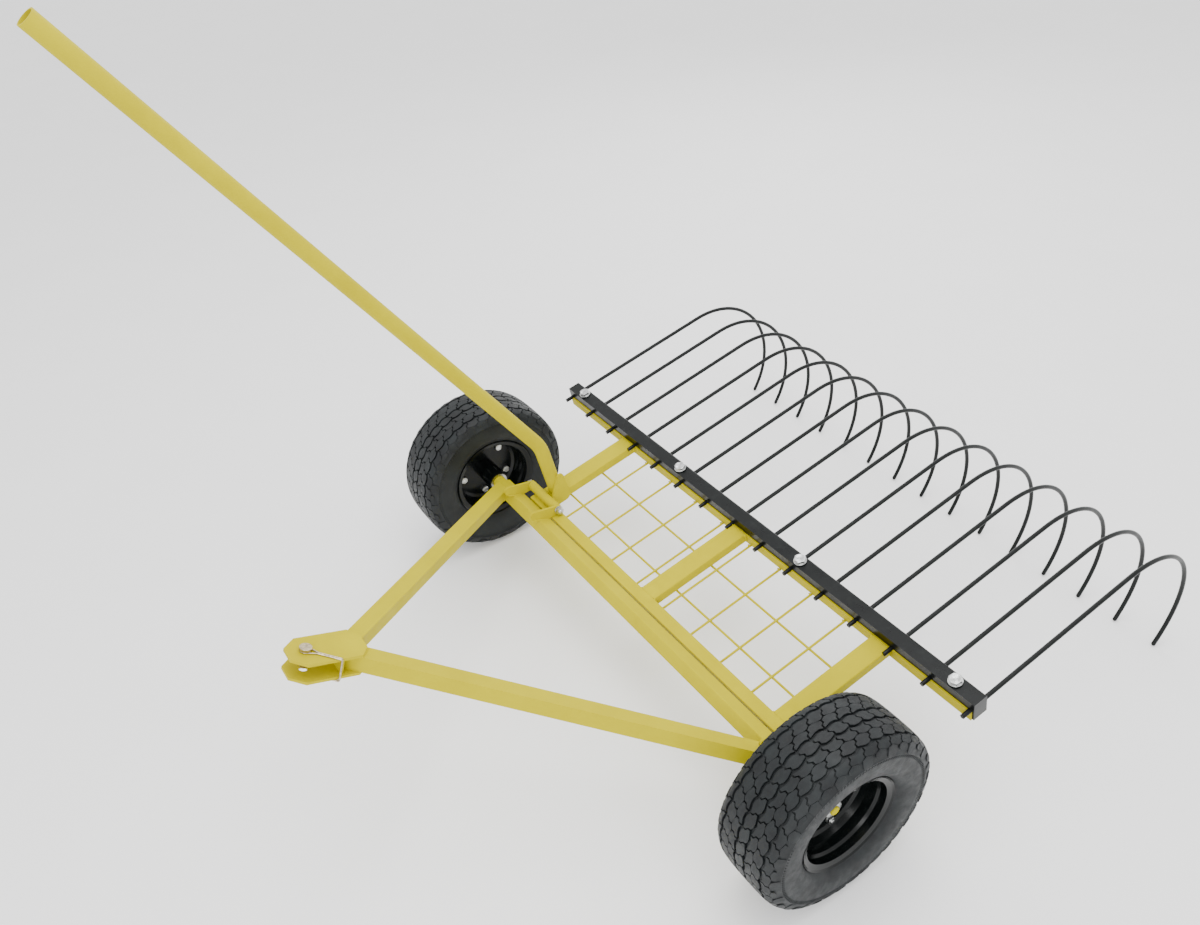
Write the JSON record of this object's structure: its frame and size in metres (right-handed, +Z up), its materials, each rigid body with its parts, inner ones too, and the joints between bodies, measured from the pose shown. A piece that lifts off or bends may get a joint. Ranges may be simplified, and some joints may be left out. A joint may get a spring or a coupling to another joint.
{
  "type": "lawn dethatcher",
  "caption": "Tow-behind tine rake on two turf wheels, with an A-shaped hitch frame, a clamp bar holding hooked spring tines and a hand lever that lifts them.",
  "frame": {"origin": "centre of the footprint of the whole implement, on the ground under the tyres and tine tips, with the tines down and the tongue raised", "axes": "+Z up, -Y towards the hitch and the direction of travel, +X towards the left wheel"},
  "size_m": [1.49, 1.7786, 1.5402],
  "materials": {
    "yellow_paint": "gloss",
    "black_paint": "gloss",
    "rim_paint": "gloss",
    "zinc_plate": "satin",
    "spring_wire": "satin",
    "tyre_rubber": "matte",
    "bearing_steel": "satin",
    "valve_rubber": "matte"
  },
  "bodies": {
    "tow_frame": {"axle_beam": "yellow_paint", "left_stub_axle": "yellow_paint", "right_stub_axle": "yellow_paint", "axle_washers": "zinc_plate", "axle_nuts": "zinc_plate", "left_hitch_arm": "yellow_paint", "right_hitch_arm": "yellow_paint", "clevis_top_plate": "yellow_paint", "clevis_bottom_plate": "yellow_paint", "clevis_web": "yellow_paint", "pivot_ears": "yellow_paint", "pivot_bolts": "zinc_plate", "pivot_nut": "zinc_plate"},
    "rake": {"front_rail": "yellow_paint", "right_side_member": "yellow_paint", "middle_member": "yellow_paint", "left_side_member": "yellow_paint", "left_rail_ear": "yellow_paint", "pivot_sleeve": "yellow_paint", "rear_angle": "yellow_paint", "mesh_panel": "yellow_paint", "lower_clamp_bar": "black_paint", "upper_clamp_bar": "black_paint", "clamp_bolts": "zinc_plate", "clamp_nuts": "zinc_plate", "lift_lever": "yellow_paint", "lever_gusset": "yellow_paint", "tine_01": "black_paint", "tine_02": "black_paint", "tine_03": "black_paint", "tine_04": "black_paint", "tine_05": "black_paint", "tine_06": "black_paint", "tine_07": "black_paint", "tine_08": "black_paint", "tine_09": "black_paint", "tine_10": "black_paint", "tine_11": "black_paint", "tine_12": "black_paint", "tine_13": "black_paint", "tine_14": "black_paint", "tine_15": "black_paint"},
    "left_wheel": {"left_tyre": "tyre_rubber", "left_rim_outer": "rim_paint", "left_rim_inner": "rim_paint", "left_hub": "rim_paint", "left_bearings": "bearing_steel", "left_rim_bolts": "zinc_plate", "left_rim_nuts": "zinc_plate", "left_valve_stem": "valve_rubber"},
    "right_wheel": {"right_tyre": "tyre_rubber", "right_rim_outer": "rim_paint", "right_rim_inner": "rim_paint", "right_hub": "rim_paint", "right_bearings": "bearing_steel", "right_rim_bolts": "zinc_plate", "right_rim_nuts": "zinc_plate", "right_valve_stem": "valve_rubber"},
    "hitch_pin": {"hitch_pin": "zinc_plate"},
    "keeper": {"pin_keeper": "spring_wire"}
  },
  "joints": [
    {"name": "left_wheel_spin", "type": "hinge", "parent": "tow_frame", "child": "left_wheel", "pos_m": [0, -0.15079, 0.206], "axis": [1, 0, 0], "continuous": true},
    {"name": "right_wheel_spin", "type": "hinge", "parent": "tow_frame", "child": "right_wheel", "pos_m": [0, -0.15079, 0.206], "axis": [1, 0, 0], "continuous": true},
    {"name": "rake_lift", "type": "hinge", "parent": "tow_frame", "child": "rake", "pos_m": [0, -0.10351, 0.23217], "axis": [1, 0, 0], "range_deg": [0, 30]},
    {"name": "hitch_pin_pull", "type": "slide", "parent": "tow_frame", "child": "hitch_pin", "axis": [0, 0.3762, 0.9265], "range_m": [0, 0.045]},
    {"name": "keeper_swing", "type": "hinge", "parent": "tow_frame", "child": "keeper", "pos_m": [0, -0.83841, 0.51274], "axis": [0, 0.3762, 0.9265], "range_deg": [-90, 0]}
  ]
}
